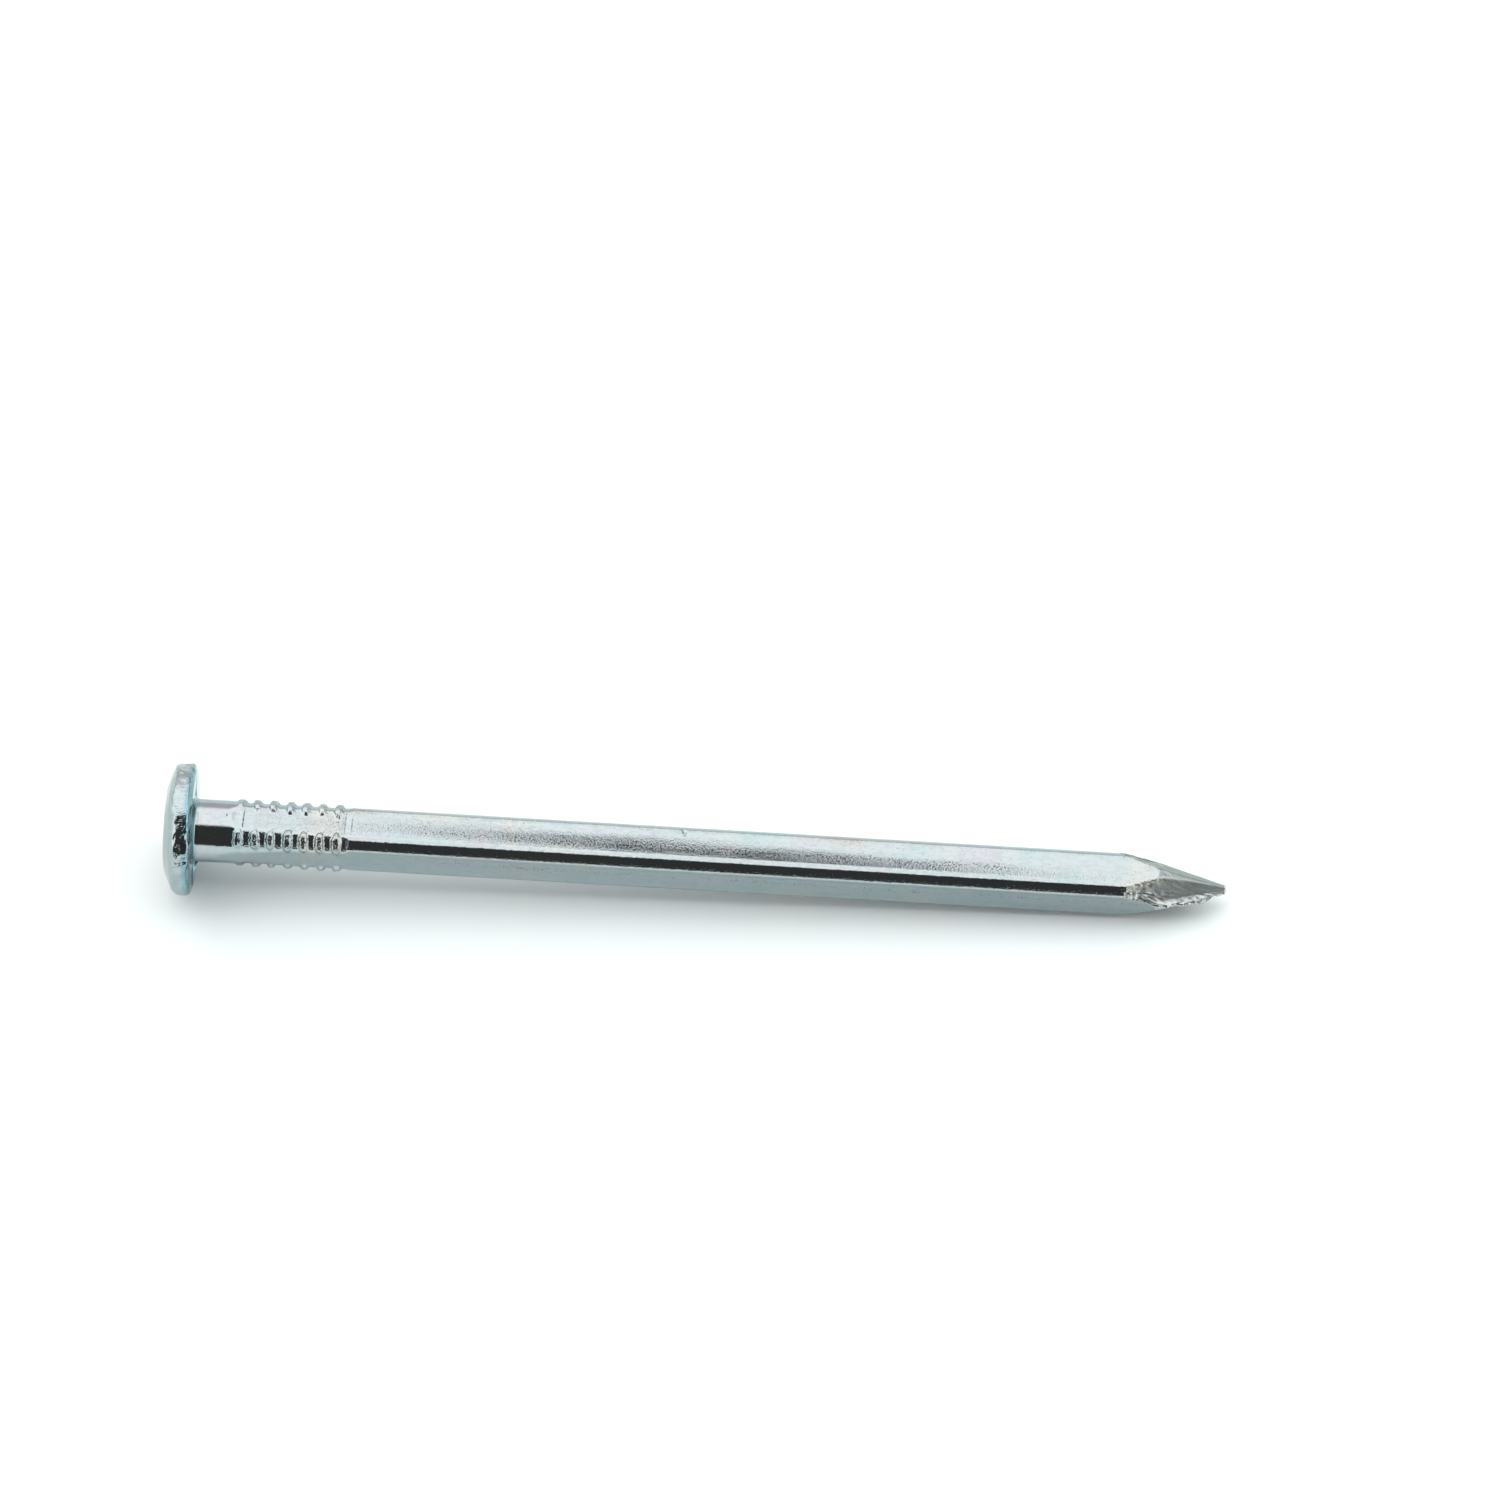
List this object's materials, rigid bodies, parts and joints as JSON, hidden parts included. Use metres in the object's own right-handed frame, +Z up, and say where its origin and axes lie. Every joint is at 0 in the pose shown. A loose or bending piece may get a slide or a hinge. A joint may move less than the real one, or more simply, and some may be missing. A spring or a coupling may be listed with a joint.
{
  "type": "nail",
  "caption": "Fluted steel masonry nail: thick round head, plain neck, rings of beads that grip, four flat flutes along the shank and a blunt faceted point.",
  "frame": {"origin": "on the ground, under the middle of the nail's box as it lies at rest on the rim of its head and on one flute", "axes": "+X along the ground from the head to the point, +Z up; the nail's own axis slopes down towards the point by 2.44 degrees"},
  "size_m": [0.0772, 0.0097, 0.0097],
  "materials": {
    "zinc_plated_steel": "bright zinc plating with a clear blue passivate"
  },
  "bodies": {
    "root": {"nail": "zinc_plated_steel"}
  },
  "joints": []
}
